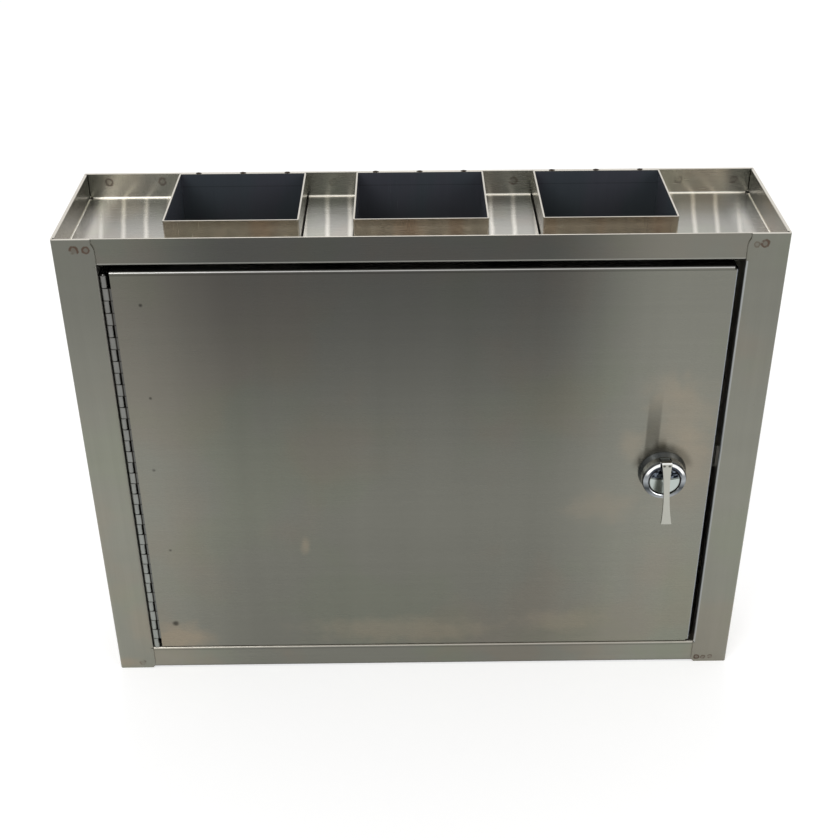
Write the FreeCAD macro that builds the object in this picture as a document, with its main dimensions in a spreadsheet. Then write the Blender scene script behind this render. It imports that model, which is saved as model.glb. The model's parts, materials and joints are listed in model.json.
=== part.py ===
import FreeCAD, Part
import math
import os
import Sketcher

# Specimen drop box cabinet: a shallow brushed stainless box with an inset door on a
# continuous hinge, a turn latch, and three chutes in a tray-like top.
# Frame: +X to the right seen from the front, +Y to the back, +Z up, millimetres.
# The origin is the centre of the carcass's underside. Pieces are drawn with y counted
# from the front face of the stiles, and their bodies are moved forward by half the depth.

doc = FreeCAD.newDocument("SpecimenDropBoxCabinet")
sheet = doc.addObject("Spreadsheet::Sheet", "Sizes")
size_names = []
sub_parts = []


class Size:
    """A number from the sheet, or worked out from it, with the expression that gives it."""

    def __init__(self, value, text):
        self.value = value
        self.text = text

    def __add__(self, other):
        return Size(self.value + number(other), "(%s + %s)" % (self.text, text_of(other)))

    def __radd__(self, other):
        return Size(number(other) + self.value, "(%s + %s)" % (text_of(other), self.text))

    def __sub__(self, other):
        return Size(self.value - number(other), "(%s - %s)" % (self.text, text_of(other)))

    def __rsub__(self, other):
        return Size(number(other) - self.value, "(%s - %s)" % (text_of(other), self.text))

    def __mul__(self, other):
        return Size(self.value * number(other), "(%s * %s)" % (self.text, text_of(other)))

    __rmul__ = __mul__

    def __truediv__(self, other):
        return Size(self.value / number(other), "(%s / %s)" % (self.text, text_of(other)))

    def __neg__(self):
        return Size(-self.value, "(-1 * %s)" % self.text)


def number(item):
    return item.value if isinstance(item, Size) else item


def text_of(item):
    return item.text if isinstance(item, Size) else repr(item)


def cell(name, value):
    """Writes one driving dimension into the sheet under its own name."""
    size_names.append(name)
    row = len(size_names)
    sheet.set("A%d" % row, name)
    sheet.set("B%d" % row, str(value))
    sheet.setAlias("B%d" % row, name)
    return Size(value, "Sizes." + name)


def cosine(angle):
    return Size(math.cos(math.radians(angle.value)), "cos(%s * 1 deg)" % angle.text)


def sine(angle):
    return Size(math.sin(math.radians(angle.value)), "sin(%s * 1 deg)" % angle.text)


def odd_count(length, pitch):
    """The largest odd number of pitches that fits into a length."""
    pairs = math.floor((length.value / pitch.value - 1) / 2)
    text = "(2 * floor((%s / %s - 1) / 2) + 1)" % (length.text, pitch.text)
    return Size(2 * pairs + 1, text)


# Carcass
cabinet_width = cell("cabinet_width", 660.0)
cabinet_height = cell("cabinet_height", 508.0)
cabinet_depth = cell("cabinet_depth", 157.0)
metal = cell("sheet_thickness", 1.5)
bend_inside = cell("bend_inside_radius", 1.0)
bend_relief = cell("bend_relief", 1.0)
stile_width = cell("stile_width", 38.0)
hinge_return = cell("hinge_side_return", 32.0)
latch_return = cell("latch_side_return", 12.0)
return_slit = cell("return_end_slit", 0.3)
tab_round_top = cell("tab_round_top", 12.0)
tab_round_bottom = cell("tab_round_bottom", 5.0)
bottom_rail = cell("bottom_rail_height", 27.0)
rail_return = cell("rail_return", 12.0)
pan_upstand = cell("pan_upstand_height", 20.0)
tray_depth = cell("tray_depth", 25.0)
corner_hole = cell("corner_relief_diameter", 3.5)
wall_hole = cell("wall_hole_diameter", 8.0)
wall_hole_span = cell("wall_hole_span", 406.4)
wall_hole_rise = cell("wall_hole_rise", 304.8)

# Chutes
chute_width = cell("chute_width", 124.5)
chute_margin = cell("chute_side_margin", 93.75)
chute_front = cell("chute_setback", 39.5)
chute_length = cell("chute_length", 76.0)
chute_corner = cell("chute_corner_radius", 2.0)
cutout_clearance = cell("cutout_clearance", 1.6)
bead_length = cell("weld_bead_length", 5.0)
bead_crown = cell("weld_bead_crown", 3.0)
bead_width = cell("weld_bead_width", 2.8)
bead_ridge = cell("weld_bead_ridge", 1.4)
bead_height = cell("weld_bead_height", 1.4)
bead_pitch = cell("weld_bead_pitch", 43.5)

# Door
gap_top = cell("door_gap_top", 5.3)
gap_bottom = cell("door_gap_bottom", 2.0)
gap_latch = cell("door_gap_latch_side", 5.5)
gap_hinge = cell("door_gap_hinge_side", 10.4)
door_flange = cell("door_flange_depth", 25.4)
notch_width = cell("door_notch_width", 3.6)
notch_height = cell("door_notch_height", 3.0)

# Continuous hinge
knuckle_pitch = cell("knuckle_pitch", 12.7)
knuckle_gap = cell("knuckle_gap", 0.3)
knuckle_radius = cell("knuckle_radius", 3.5)
leaf_metal = cell("leaf_thickness", 1.5)
frame_leaf_width = cell("frame_leaf_width", 25.4)
door_leaf_width = cell("door_leaf_width", 38.1)
leaf_cut = cell("leaf_cut_clearance", 0.8)
hinge_standoff = cell("hinge_standoff", 0.3)
hinge_lift = cell("hinge_lift", 0.5)
roll_slit = cell("roll_slit_angle", 90.0)
pin_clearance = cell("pin_clearance", 0.05)
pin_chamfer = cell("pin_chamfer", 0.5)

# Latch
latch_inset = cell("latch_inset", 49.5)
rose_diameter = cell("rose_diameter", 47.5)
rose_depth = cell("rose_depth", 7.0)
rose_lip = cell("rose_lip", 1.5)
barrel_diameter = cell("barrel_diameter", 20.0)
barrel_length = cell("barrel_length", 22.0)
barrel_clearance = cell("barrel_clearance", 0.2)
nut_width = cell("nut_across_flats", 27.0)
nut_thickness = cell("nut_thickness", 5.0)
knob_diameter = cell("knob_diameter", 43.5)
knob_depth = cell("knob_depth", 11.0)
knob_gap = cell("knob_gap", 0.2)
shoulder_round = cell("knob_shoulder_round", 3.0)
ring_slope = cell("knob_ring_slope", 0.8)
ring_land = cell("knob_ring_land", 0.9)
cap_radius = cell("cap_radius", 15.4)
cap_recess = cell("cap_recess_depth", 2.6)
cap_thickness = cell("cap_thickness", 1.6)
cap_dish = cell("cap_dish", 0.8)
cap_chamfer = cell("cap_chamfer", 0.4)
cap_clearance = cell("cap_clearance", 0.3)
spindle_diameter = cell("spindle_diameter", 10.0)
running_clearance = cell("running_clearance", 0.05)
spindle_square = cell("spindle_square", 7.0)
lever_width = cell("lever_width", 9.8)
lever_waist = cell("lever_waist", 5.6)
lever_thickness = cell("lever_thickness", 3.1)
lever_top = cell("lever_top", 22.8)
lever_drop = cell("lever_drop", 33.0)
lever_lean = cell("lever_lean", 24.5)
lever_stand = cell("lever_stand", 1.6)
lever_root = cell("lever_root_height", 4.0)
lever_root_sink = cell("lever_root_sink", 1.5)
lever_edge = cell("lever_edge_round", 0.6)
waist_height = cell("lever_waist_height", -5.0)
waist_reach = cell("lever_waist_reach", 27.0)
slot_clearance = cell("slot_clearance", 0.9)
slot_seat = cell("slot_seat_clearance", 0.2)
slot_web = cell("slot_web", 1.5)
lever_pin_diameter = cell("lever_pin_diameter", 2.5)
lever_pin_length = cell("lever_pin_length", 15.0)
lever_pin_setback = cell("lever_pin_setback", 5.0)

# Cam, its fixings and the keeper
keeper_height = cell("keeper_height", 24.0)
keeper_metal = cell("keeper_thickness", 2.0)
keeper_lap = cell("keeper_lap", 6.5)
keeper_leg = cell("keeper_leg", 20.0)
keeper_clearance = cell("keeper_clearance", 0.4)
cam_gap = cell("cam_gap", 0.5)
cam_thickness = cell("cam_thickness", 3.0)
cam_width = cell("cam_width", 19.0)
cam_overlap = cell("cam_overlap", 20.0)
cam_corner = cell("cam_corner", 4.0)
cam_play = cell("cam_play", 0.2)
washer_diameter = cell("washer_diameter", 13.0)
washer_thickness = cell("washer_thickness", 1.0)
washer_play = cell("washer_play", 0.3)
screw_diameter = cell("screw_diameter", 5.0)
screw_length = cell("screw_length", 12.0)
screw_head_width = cell("screw_head_across_flats", 8.0)
screw_head_height = cell("screw_head_height", 3.5)
HEX_CORNER = 1 / math.sqrt(3)
ROUND_CUT = 1 - math.sqrt(0.5)
doc.recompute()

# Places worked out from the sizes, in front coordinates
bend_outside = bend_inside + metal
half_width = cabinet_width / 2
inner_half = half_width - metal
opening_left = stile_width - half_width
opening_right = half_width - stile_width
tray_floor = cabinet_height - tray_depth
opening_top = tray_floor - metal
back_inner = cabinet_depth - metal
chute_pitch = half_width - chute_margin - chute_width / 2
door_left = opening_left + gap_hinge
door_right = opening_right - gap_latch
door_bottom = bottom_rail + gap_bottom
door_top = opening_top - gap_top
hinge_x = opening_left + hinge_standoff + knuckle_radius
hinge_y = metal + knuckle_radius
hinge_bottom = bottom_rail + hinge_lift
knuckle_count = odd_count(door_top - hinge_bottom, knuckle_pitch)
hinge_top = hinge_bottom + knuckle_count * knuckle_pitch
knuckle_length = knuckle_pitch - knuckle_gap
knuckle_bore = knuckle_radius - leaf_metal
latch_x = door_right - latch_inset
latch_z = (door_bottom + door_top) / 2
keeper_y = door_flange + keeper_clearance
keeper_left = door_right - keeper_lap
cam_y = keeper_y + keeper_metal + cam_gap
cam_reach = keeper_left + cam_overlap - latch_x
knob_back = -(rose_depth + knob_gap)
knob_front = knob_back - knob_depth
knob_radius = knob_diameter / 2
groove_radius = cap_radius + cap_clearance
recess_floor = knob_front + cap_recess
spindle_radius = spindle_diameter / 2
bore_radius = spindle_radius + running_clearance
root_top = knob_radius - lever_root_sink
root_bottom = root_top - lever_root
lever_front = knob_front - lever_stand
pin_place = (knob_back - lever_pin_setback, root_top - lever_root / 2)
stack_end = cam_y + cam_thickness + washer_thickness


def bind(item, name, value):
    item.setExpression(name, text_of(value))


def new_body(label, x=0, y=-(cabinet_depth / 2), z=0):
    body = doc.addObject("PartDesign::Body", label)
    body.Label = label
    for name, value in (("x", x), ("y", y), ("z", z)):
        bind(body, "Placement.Base." + name, value)
    sub_parts.append(body)
    return body


def new_sketch(body, name, plane, offset=0):
    """A sketch on one of the body's origin planes, moved along the plane's normal.

    The normals are +Z for XY, -Y for XZ and +X for YZ.
    """
    sketch = body.newObject("Sketcher::SketchObject", name)
    role = plane + "_Plane"
    support = [item for item in body.Origin.OriginFeatures if item.Role == role]
    sketch.AttachmentSupport = [(support[0], "")]
    sketch.MapMode = "FlatFace"
    bind(sketch, "AttachmentOffset.Base.z", offset)
    return sketch


def set_coordinate(sketch, curve, end, kind, value):
    """Ties one coordinate of a curve's end or centre to the sketch's origin."""
    if not isinstance(value, Size) and value == 0:
        axis = -2 if kind == "DistanceX" else -1
        sketch.addConstraint(Sketcher.Constraint("PointOnObject", curve, end, axis))
        return
    row = sketch.addConstraint(Sketcher.Constraint(kind, -1, 1, curve, end, number(value)))
    bind(sketch, "Constraints[%d]" % row, value)


def arc_curve(first, last, centre, turn):
    """An arc of the sketch between two corners; turn is 1 anticlockwise and -1 clockwise."""
    start, end = (first, last) if turn > 0 else (last, first)
    middle = FreeCAD.Vector(number(centre[0]), number(centre[1]), 0)
    arm = FreeCAD.Vector(number(start[0]), number(start[1]), 0) - middle
    reach = FreeCAD.Vector(number(end[0]), number(end[1]), 0) - middle
    circle = Part.Circle(middle, FreeCAD.Vector(0, 0, 1), arm.Length)
    return Part.ArcOfCircle(circle, math.atan2(arm.y, arm.x), math.atan2(reach.y, reach.x))


def add_loop(sketch, corners, arcs=None):
    """Closed outline through corners; arcs maps a side's number to (centre, turn, held axis)."""
    arcs = arcs or {}
    base = sketch.GeometryCount
    count = len(corners)
    ends = []
    for side, corner in enumerate(corners):
        following = corners[(side + 1) % count]
        if side in arcs:
            centre, turn, held = arcs[side]
            sketch.addGeometry(arc_curve(corner, following, centre, turn), False)
            ends.append((1, 2) if turn > 0 else (2, 1))
        else:
            start = FreeCAD.Vector(number(corner[0]), number(corner[1]), 0)
            end = FreeCAD.Vector(number(following[0]), number(following[1]), 0)
            sketch.addGeometry(Part.LineSegment(start, end), False)
            ends.append((1, 2))
    for side in range(count):
        after = (side + 1) % count
        pair = (base + side, ends[side][1], base + after, ends[after][0])
        sketch.addConstraint(Sketcher.Constraint("Coincident", *pair))
    for side, corner in enumerate(corners):
        set_coordinate(sketch, base + side, ends[side][0], "DistanceX", corner[0])
        set_coordinate(sketch, base + side, ends[side][0], "DistanceY", corner[1])
    for side, (centre, turn, held) in arcs.items():
        set_coordinate(sketch, base + side, 3, "Distance" + held, centre["XY".index(held)])


def add_rectangle(sketch, left, right, low, high):
    add_loop(sketch, [(left, low), (right, low), (right, high), (left, high)])


def add_circle(sketch, x, y, diameter):
    base = sketch.GeometryCount
    middle = FreeCAD.Vector(number(x), number(y), 0)
    circle = Part.Circle(middle, FreeCAD.Vector(0, 0, 1), number(diameter) / 2)
    sketch.addGeometry(circle, False)
    set_coordinate(sketch, base, 3, "DistanceX", x)
    set_coordinate(sketch, base, 3, "DistanceY", y)
    row = sketch.addConstraint(Sketcher.Constraint("Diameter", base, number(diameter)))
    bind(sketch, "Constraints[%d]" % row, diameter)


def solid_of(feature):
    """The feature's shape once it has been worked out, if it could be."""
    doc.recompute()
    if feature.Shape.isNull() or not feature.Shape.isValid():
        raise RuntimeError("%s: %s" % (feature.Label, feature.getStatusString()))
    return feature.Shape


def pad(body, sketch, name, length, symmetric=False, backward=False):
    """Adds material along the sketch's normal, against it, or to both sides."""
    feature = body.newObject("PartDesign::Pad", name)
    feature.Profile = sketch
    bind(feature, "Length", length)
    feature.SideType = "Symmetric" if symmetric else "One side"
    feature.Reversed = backward
    solid_of(feature)
    return feature


def pocket(body, sketch, name, length, symmetric=False, backward=False):
    """Cuts a sketch's outline out of the body, and makes sure that it met material.

    A pocket goes against the sketch's normal unless it is turned backward.
    """
    before = body.Shape.Volume
    feature = body.newObject("PartDesign::Pocket", name)
    feature.Profile = sketch
    bind(feature, "Length", length)
    feature.SideType = "Symmetric" if symmetric else "One side"
    feature.Reversed = backward
    if solid_of(feature).Volume > before - 0.001:
        raise ValueError("%s cut nothing" % name)
    return feature


def revolve(body, sketch, name):
    """Turns a profile a full turn about the horizontal axis of its sketch."""
    feature = body.newObject("PartDesign::Revolution", name)
    feature.Profile = sketch
    feature.ReferenceAxis = (sketch, ["H_Axis"])
    feature.Angle = 360
    solid_of(feature)
    return feature


def repeat(body, features, name, role, spacing, count):
    """Repeats features along one of the body's axes."""
    feature = body.newObject("PartDesign::LinearPattern", name)
    feature.Originals = features
    axis = [item for item in body.Origin.OriginFeatures if item.Role == role]
    feature.Direction = (axis[0], [""])
    feature.Mode = "Spacing"
    bind(feature, "Offset", spacing)
    bind(feature, "Occurrences", count)
    body.Tip = feature
    solid_of(feature)
    return feature


def straight_edges(body, axis, **place):
    """Names of the edges along an axis whose middles lie at the given coordinates."""
    names = []
    for row, edge in enumerate(body.Tip.Shape.Edges, 1):
        if edge.Curve.TypeId != "Part::GeomLine":
            continue
        if abs(abs(getattr(edge.tangentAt(edge.FirstParameter), axis)) - 1) > 1e-6:
            continue
        middle = edge.CenterOfMass
        if all(abs(getattr(middle, key) - number(value)) < 1e-4 for key, value in place.items()):
            names.append("Edge%d" % row)
    return names


def dress(body, kind, name, edges, size):
    """Fillets or chamfers the named edges of the body's last feature."""
    if not edges:
        raise ValueError("%s has no edges" % name)
    base = body.Tip
    feature = body.newObject("PartDesign::" + kind, name)
    feature.Base = (base, edges)
    bind(feature, "Radius" if kind == "Fillet" else "Size", size)
    body.Tip = feature
    solid_of(feature)
    return feature


def side_panel(label, side, return_depth):
    """Side wall, front stile with its two tabs, and the return at the door opening.

    side is -1 for the left panel and 1 for the right one. The tabs lap the rails.
    """
    body = new_body(label)
    outer = side * half_width
    inner = side * inner_half
    opening = side * (half_width - stile_width)
    bend_start = opening + side * bend_outside
    plan = new_sketch(body, label + "_plan", "XY")
    add_loop(plan, [(outer, 0), (bend_start, 0), (bend_start, metal), (inner, metal),
                    (inner, cabinet_depth), (outer, cabinet_depth)])
    pad(body, plan, label + "_wall", cabinet_height)
    dress(body, "Fillet", label + "_outer_bend", straight_edges(body, "z", x=outer, y=0), bend_outside)
    dress(body, "Fillet", label + "_inner_bend", straight_edges(body, "z", x=inner, y=metal), bend_inside)
    tabs = new_sketch(body, label + "_tab_outlines", "XZ", -metal)
    low_turn = opening + side * tab_round_bottom
    add_loop(tabs, [(bend_start + side * tab_round_bottom, 0), (low_turn, 0), (opening, tab_round_bottom),
                    (opening, bottom_rail), (bend_start + side * tab_round_bottom, bottom_rail)],
             {1: ((low_turn, tab_round_bottom), -side, "X")})
    high_turn = opening + side * tab_round_top
    add_loop(tabs, [(bend_start + side * tab_round_top, cabinet_height), (high_turn, cabinet_height),
                    (opening, cabinet_height - tab_round_top), (opening, opening_top),
                    (bend_start + side * tab_round_top, opening_top)],
             {1: ((high_turn, cabinet_height - tab_round_top), side, "X")})
    pad(body, tabs, label + "_tabs", metal)
    lip = new_sketch(body, label + "_return_plan", "XY", bottom_rail + return_slit)
    add_loop(lip, [(bend_start, 0), (opening, bend_outside), (opening, return_depth),
                   (opening + side * metal, return_depth), (opening + side * metal, bend_outside),
                   (bend_start, metal)],
             {0: ((bend_start, bend_outside), -side, "X"), 4: ((bend_start, bend_outside), side, "X")})
    pad(body, lip, label + "_return", opening_top - bottom_rail - 2 * return_slit)
    return body


def back_panel():
    """Flat back between the side walls, with four holes at a wall's stud spacing."""
    body = new_body("back_panel")
    outline = new_sketch(body, "back_outline", "XZ", -cabinet_depth)
    add_rectangle(outline, -inner_half, inner_half, 0, cabinet_height)
    pad(body, outline, "back_sheet", metal)
    holes = new_sketch(body, "wall_hole_centres", "XZ", -back_inner)
    middle = cabinet_height / 2
    for column in (-0.5, 0.5):
        for row in (-0.5, 0.5):
            add_circle(holes, column * wall_hole_span, middle + row * wall_hole_rise, wall_hole)
    pocket(body, holes, "wall_holes", metal)
    return body


def rail_corners(body, name, low, high):
    """Cuts the front rail's two upright edges back, clear of the side walls' inner bends."""
    outline = new_sketch(body, name + "_outlines", "XY", high)
    for side in (-1, 1):
        add_loop(outline, [(side * inner_half, metal), (side * (inner_half - bend_inside), metal),
                           (side * inner_half, metal + bend_inside)])
    pocket(body, outline, name, high - low)


def bottom_pan():
    """Floor folded up into the bottom rail, which has a return at the opening."""
    body = new_body("bottom_pan")
    section = new_sketch(body, "pan_section", "YZ")
    add_loop(section, [(metal, 0), (back_inner, 0), (back_inner, pan_upstand),
                       (back_inner - metal, pan_upstand), (back_inner - metal, metal), (2 * metal, metal),
                       (2 * metal, bottom_rail - metal), (metal + rail_return, bottom_rail - metal),
                       (metal + rail_return, bottom_rail), (metal, bottom_rail)])
    pad(body, section, "pan_sheet", 2 * inner_half, symmetric=True)
    ends = new_sketch(body, "pan_end_outlines", "XY", metal)
    relief = bend_inside + bend_relief
    for side in (-1, 1):
        add_rectangle(ends, side * inner_half, side * (inner_half - metal),
                      2 * metal + relief, back_inner - metal - relief)
    pad(body, ends, "pan_ends", pan_upstand - metal)
    outside = (straight_edges(body, "x", y=metal, z=0) + straight_edges(body, "x", y=metal, z=bottom_rail)
               + straight_edges(body, "x", y=back_inner, z=0))
    dress(body, "Fillet", "pan_outer_bends", outside, bend_outside)
    inside = (straight_edges(body, "x", y=2 * metal, z=metal)
              + straight_edges(body, "x", y=2 * metal, z=bottom_rail - metal)
              + straight_edges(body, "x", y=back_inner - metal, z=metal))
    dress(body, "Fillet", "pan_inner_bends", inside, bend_inside)
    rail_corners(body, "pan_rail_corners", 0, bottom_rail)
    return body


def top_tray():
    """Top folded as a tray: front rail, side and back upstands, and three chute cut-outs."""
    body = new_body("top_tray")
    section = new_sketch(body, "tray_section", "YZ")
    add_loop(section, [(metal, opening_top), (back_inner, opening_top), (back_inner, cabinet_height),
                       (back_inner - metal, cabinet_height), (back_inner - metal, tray_floor),
                       (2 * metal, tray_floor), (2 * metal, cabinet_height), (metal, cabinet_height)])
    pad(body, section, "tray_sheet", 2 * inner_half, symmetric=True)
    ends = new_sketch(body, "tray_end_outlines", "XY", tray_floor)
    relief = bend_inside + bend_relief
    for side in (-1, 1):
        add_rectangle(ends, side * inner_half, side * (inner_half - metal),
                      2 * metal + relief, back_inner - metal - relief)
    pad(body, ends, "tray_ends", tray_depth)
    outside = (straight_edges(body, "x", y=metal, z=opening_top)
               + straight_edges(body, "x", y=back_inner, z=opening_top))
    dress(body, "Fillet", "tray_outer_bends", outside, bend_outside)
    inside = (straight_edges(body, "x", y=2 * metal, z=tray_floor)
              + straight_edges(body, "x", y=back_inner - metal, z=tray_floor)
              + straight_edges(body, "y", x=inner_half - metal, z=tray_floor)
              + straight_edges(body, "y", x=metal - inner_half, z=tray_floor))
    dress(body, "Fillet", "tray_inner_bends", inside, bend_inside)
    cuts = new_sketch(body, "tray_cut_outlines", "XY", tray_floor + 2 * bend_inside)
    for place in (-1, 0, 1):
        middle = place * chute_pitch
        half = chute_width / 2 + cutout_clearance
        add_rectangle(cuts, middle - half, middle + half, chute_front - cutout_clearance,
                      back_inner - metal)
    for side in (-1, 1):
        for depth in (2 * metal + bend_inside, back_inner - metal - bend_inside):
            add_circle(cuts, side * (inner_half - metal - bend_inside), depth, corner_hole)
    pocket(body, cuts, "tray_cuts", 2 * metal + 2 * bend_inside)
    rail_corners(body, "tray_rail_corners", opening_top, cabinet_height)
    return body


def chute(label, place):
    """Rectangular tube from the rim down through the tray, open at both ends."""
    body = new_body(label, x=place * chute_pitch)
    outline = new_sketch(body, label + "_outline", "XY", cabinet_height - chute_length)
    half = chute_width / 2
    rear = back_inner - metal
    add_rectangle(outline, -half, half, chute_front, rear)
    pad(body, outline, label + "_block", chute_length)
    corners = []
    for x in (-half, half):
        for y in (chute_front, rear):
            corners += straight_edges(body, "z", x=x, y=y)
    dress(body, "Fillet", label + "_corners", corners, chute_corner)
    bore = new_sketch(body, label + "_throat", "XY", cabinet_height)
    add_rectangle(bore, metal - half, half - metal, chute_front + metal, rear - metal)
    pocket(body, bore, label + "_hollow", chute_length)
    return body


def chute_welds():
    """Three tack-weld beads on the rim behind each chute."""
    beads = []
    for place in (-1, 0, 1):
        for step in (-1, 0, 1):
            bead = doc.addObject("Part::Wedge", "bead")
            for axis, base, crown in (("X", bead_length, bead_crown), ("Z", bead_width, bead_ridge)):
                bind(bead, axis + "min", -(base / 2))
                bind(bead, axis + "max", base / 2)
                bind(bead, axis + "2min", -(crown / 2))
                bind(bead, axis + "2max", crown / 2)
            bind(bead, "Ymin", 0)
            bind(bead, "Ymax", bead_height)
            bead.Placement.Rotation = FreeCAD.Rotation(FreeCAD.Vector(1, 0, 0), 90)
            bind(bead, "Placement.Base.x", place * chute_pitch + step * bead_pitch)
            bind(bead, "Placement.Base.y", back_inner - metal / 2 - cabinet_depth / 2)
            bind(bead, "Placement.Base.z", cabinet_height)
            beads.append(bead)
    group = doc.addObject("Part::Compound", "chute_tack_welds")
    group.Label = "chute_tack_welds"
    group.Links = beads
    sub_parts.append(group)
    doc.recompute()
    return group


def door_panel():
    """Door skin with flanges along the top, bottom and latch side, notched at the corners."""
    body = new_body("door_panel")
    skin = new_sketch(body, "door_outline", "XZ", -metal)
    add_loop(skin, [(door_left, door_bottom), (door_right - notch_width, door_bottom),
                    (door_right - notch_width, door_bottom + notch_height),
                    (door_right, door_bottom + notch_height), (door_right, door_top - notch_height),
                    (door_right - notch_width, door_top - notch_height),
                    (door_right - notch_width, door_top), (door_left, door_top)])
    pad(body, skin, "door_skin", metal)
    rims = new_sketch(body, "door_flange_plan", "XZ", -metal)
    add_rectangle(rims, door_left, door_right - notch_width, door_bottom, door_bottom + metal)
    add_rectangle(rims, door_left, door_right - notch_width, door_top - metal, door_top)
    add_rectangle(rims, door_right - metal, door_right, door_bottom + notch_height, door_top - notch_height)
    pad(body, rims, "door_flanges", door_flange - metal, backward=True)
    outside = (straight_edges(body, "x", y=0, z=door_bottom) + straight_edges(body, "x", y=0, z=door_top)
               + straight_edges(body, "z", x=door_right, y=0))
    dress(body, "Fillet", "door_outer_bends", outside, bend_outside)
    inside = (straight_edges(body, "x", y=metal, z=door_bottom + metal)
              + straight_edges(body, "x", y=metal, z=door_top - metal)
              + straight_edges(body, "z", x=door_right - metal, y=metal))
    dress(body, "Fillet", "door_inner_bends", inside, bend_inside)
    hole = new_sketch(body, "latch_hole_outline", "XZ", 0)
    add_circle(hole, latch_x, latch_z, barrel_diameter + 2 * barrel_clearance)
    pocket(body, hole, "latch_hole", metal)
    return body


def rolled_knuckle(joggle):
    """Section of one knuckle: a leaf end curled round the pin, with a slit where it ends.

    Coordinates are from the pin's axis. The leaf leaves along +X below the axis, its
    outer face joggle further out than the roll, and the curl runs clockwise.
    """
    run = knuckle_radius + leaf_cut
    along, across = cosine(roll_slit), sine(roll_slit)
    corners = [(run, -(knuckle_radius + joggle)), (0, -knuckle_radius),
               (knuckle_radius * across, -(knuckle_radius * along)),
               (knuckle_bore * across, -(knuckle_bore * along)),
               (0, -knuckle_bore), (run, -(knuckle_bore + joggle))]
    return corners, {1: -1, 3: 1}


def hinge_leaf(label, joggle, width, first, count, swapped):
    """One leaf of the continuous hinge: a flat plate with a row of rolled knuckles.

    first is the height of the row's lowest knuckle. A swapped leaf has its section's
    two coordinates exchanged, so that it runs to the back and curls the other way.
    """
    def turn(x, y):
        return (y, x) if swapped else (x, y)

    body = new_body(label, x=hinge_x, y=hinge_y - cabinet_depth / 2)
    run = knuckle_radius + leaf_cut
    outer, inner = -(knuckle_radius + joggle), -(knuckle_bore + joggle)
    plate = new_sketch(body, label + "_plate_plan", "XY", first)
    add_loop(plate, [turn(run, outer), turn(width, outer), turn(width, inner), turn(run, inner)])
    pad(body, plate, label + "_plate", 2 * knuckle_pitch * (count - 1) + knuckle_length)
    corners, turns = rolled_knuckle(joggle)
    way = -1 if swapped else 1
    arcs = {side: ((0, 0), way * bend, "X") for side, bend in turns.items()}
    section = new_sketch(body, label + "_knuckle_section", "XY", first)
    add_loop(section, [turn(x, y) for x, y in corners], arcs)
    roll = pad(body, section, label + "_knuckle", knuckle_length)
    repeat(body, [roll], label + "_knuckles", "Z_Axis", 2 * knuckle_pitch, count)
    return body


def hinge_pin():
    """Pin through all the knuckles, with a small chamfer at both ends."""
    body = new_body("hinge_pin", x=hinge_x, y=hinge_y - cabinet_depth / 2)
    outline = new_sketch(body, "pin_outline", "XY", hinge_bottom)
    add_circle(outline, 0, 0, 2 * (knuckle_bore - pin_clearance))
    pad(body, outline, "pin_rod", hinge_top - hinge_bottom)
    ends = [row for row, edge in enumerate(body.Shape.Edges, 1) if edge.isClosed()]
    dress(body, "Chamfer", "pin_ends", ["Edge%d" % row for row in ends], pin_chamfer)
    return body


def keeper_angle():
    """Angle on the right side wall: the cam locks behind its face, the door stops on it."""
    body = new_body("keeper_angle")
    plan = new_sketch(body, "keeper_plan", "XY", latch_z - keeper_height / 2)
    rear = keeper_y + keeper_metal
    add_loop(plan, [(keeper_left, keeper_y), (inner_half, keeper_y), (inner_half, keeper_y + keeper_leg),
                    (inner_half - keeper_metal, keeper_y + keeper_leg), (inner_half - keeper_metal, rear),
                    (keeper_left, rear)])
    pad(body, plan, "keeper_sheet", keeper_height)
    dress(body, "Fillet", "keeper_outer_bend", straight_edges(body, "z", x=inner_half, y=keeper_y),
          bend_inside + keeper_metal)
    dress(body, "Fillet", "keeper_inner_bend",
          straight_edges(body, "z", x=inner_half - keeper_metal, y=rear), bend_inside)
    return body


def new_latch_body(label):
    """A body on the spindle's axis, with y counted from the door's front face."""
    return new_body(label, x=latch_x, z=latch_z)


def hexagon(width):
    """Corners of a hexagon with flats at its left and right."""
    reach = width * HEX_CORNER
    turns = [math.radians(30 + 60 * step) for step in range(6)]
    return [(reach * math.cos(turn), reach * math.sin(turn)) for turn in turns]


def latch_body():
    """Fixed rose against the door's face, with the barrel through the door."""
    body = new_latch_body("latch_body")
    section = new_sketch(body, "rose_section", "YZ")
    rose = rose_diameter / 2
    barrel = barrel_diameter / 2
    add_loop(section, [(-rose_depth, bore_radius), (-rose_depth, knob_radius), (-rose_lip, rose), (0, rose),
                       (0, barrel), (barrel_length, barrel), (barrel_length, bore_radius)])
    revolve(body, section, "rose")
    return body


def latch_nut():
    """Hexagon nut that clamps the latch body to the door from inside."""
    body = new_latch_body("latch_nut")
    outline = new_sketch(body, "nut_outline", "XZ", -metal)
    add_loop(outline, hexagon(nut_width))
    add_circle(outline, 0, 0, barrel_diameter + 2 * running_clearance)
    pad(body, outline, "nut_block", nut_thickness, backward=True)
    return body


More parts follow.
